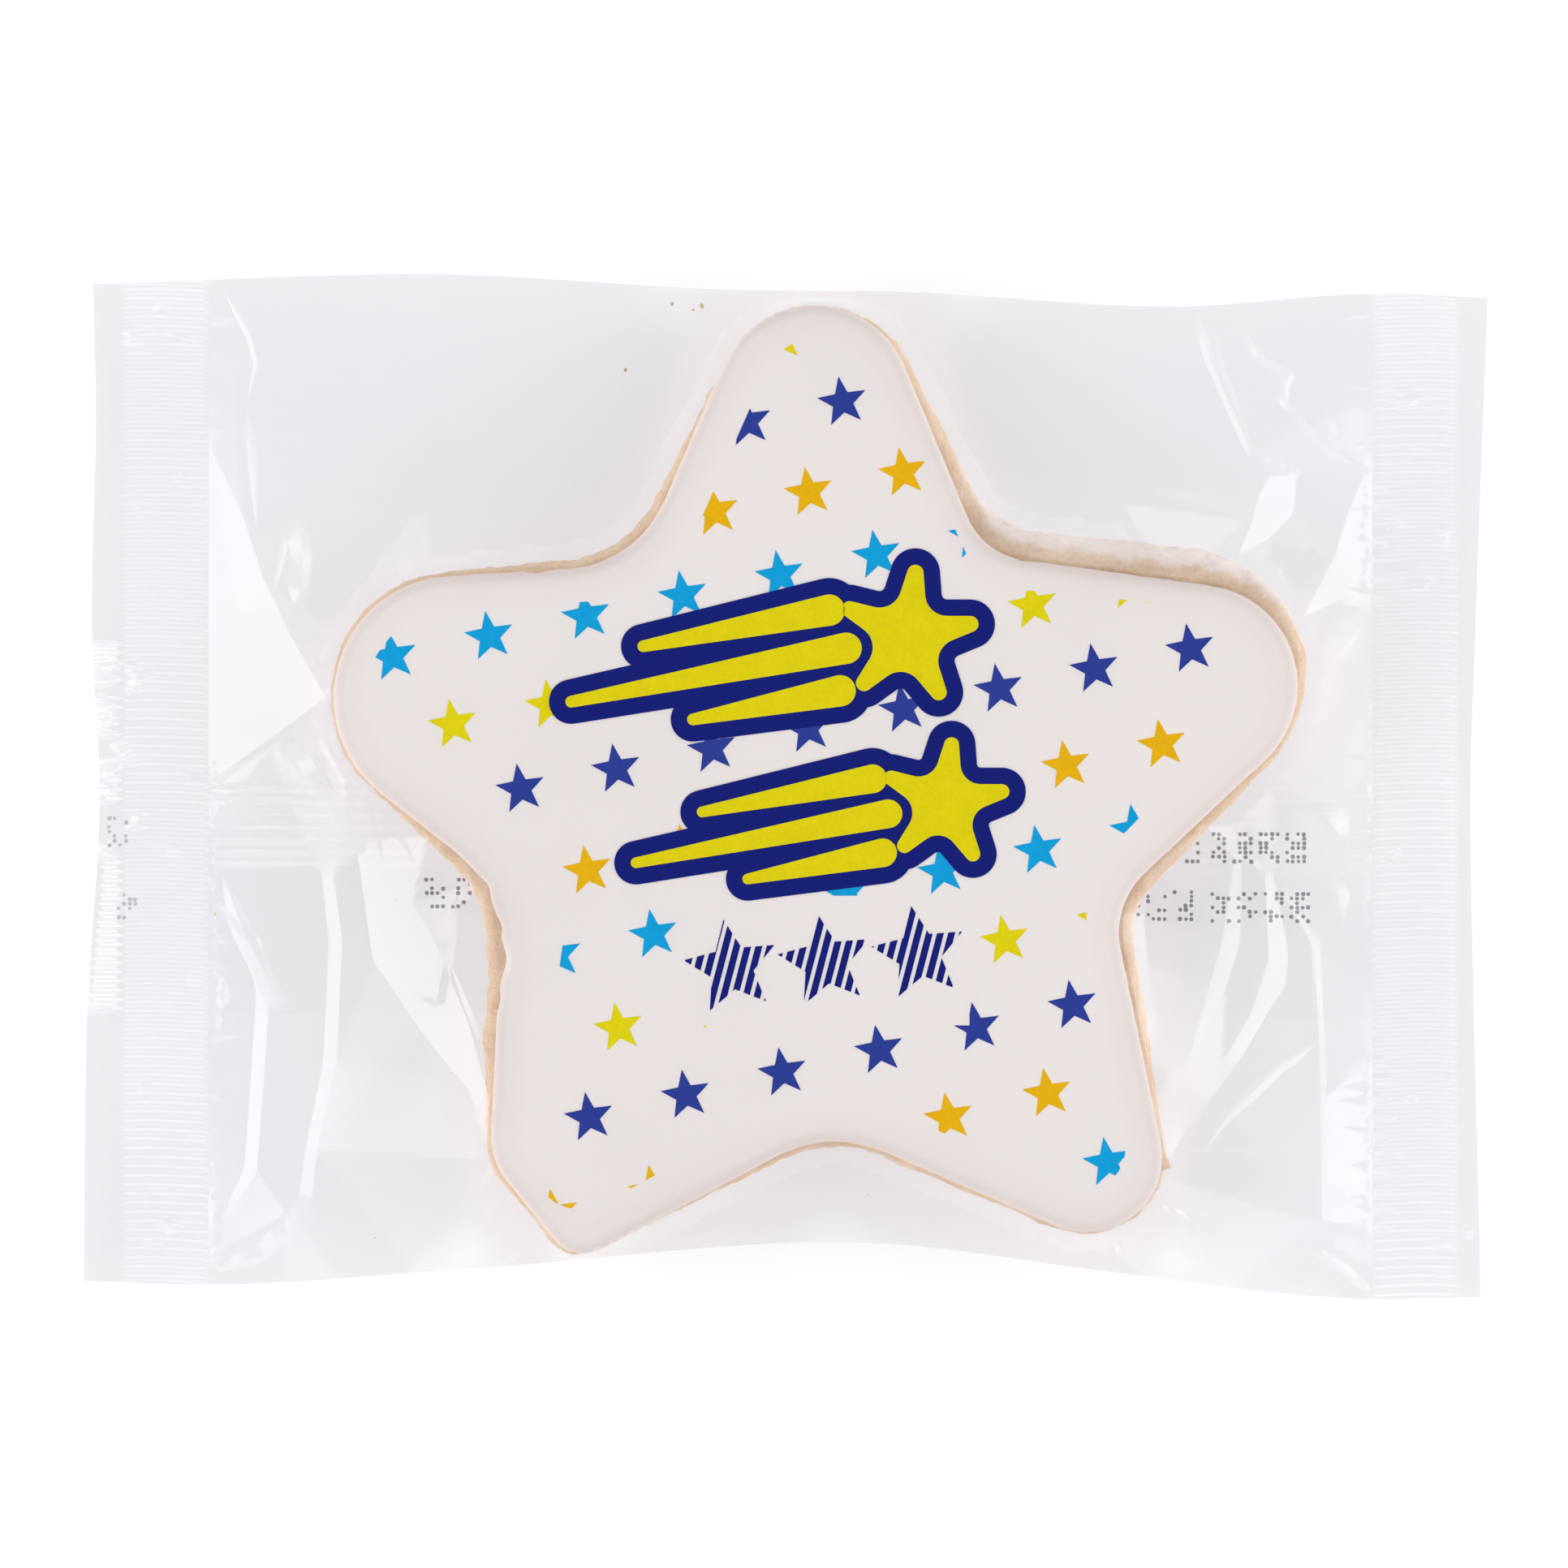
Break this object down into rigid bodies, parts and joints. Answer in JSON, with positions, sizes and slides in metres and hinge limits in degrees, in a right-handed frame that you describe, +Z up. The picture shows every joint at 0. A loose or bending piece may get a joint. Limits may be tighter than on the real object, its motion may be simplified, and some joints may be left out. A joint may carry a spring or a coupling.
{
  "type": "printed cookie",
  "caption": "Star-shaped cookie with a printed icing top, sealed in a clear film bag with crimped ends.",
  "frame": {"origin": "centre of the bag's outline, on the surface that it lies on", "axes": "+X along the bag's long side, +Y towards the star's top arm, +Z up out of the printed side"},
  "size_m": [0.1461, 0.1064, 0.0104],
  "materials": {
    "clear_film": "clear glossy film",
    "biscuit": "pale baked crumb",
    "icing": "smooth matt icing",
    "print": "matt edible ink"
  },
  "bodies": {
    "root": {"sealed_bag": "clear_film"}
  },
  "joints": []
}
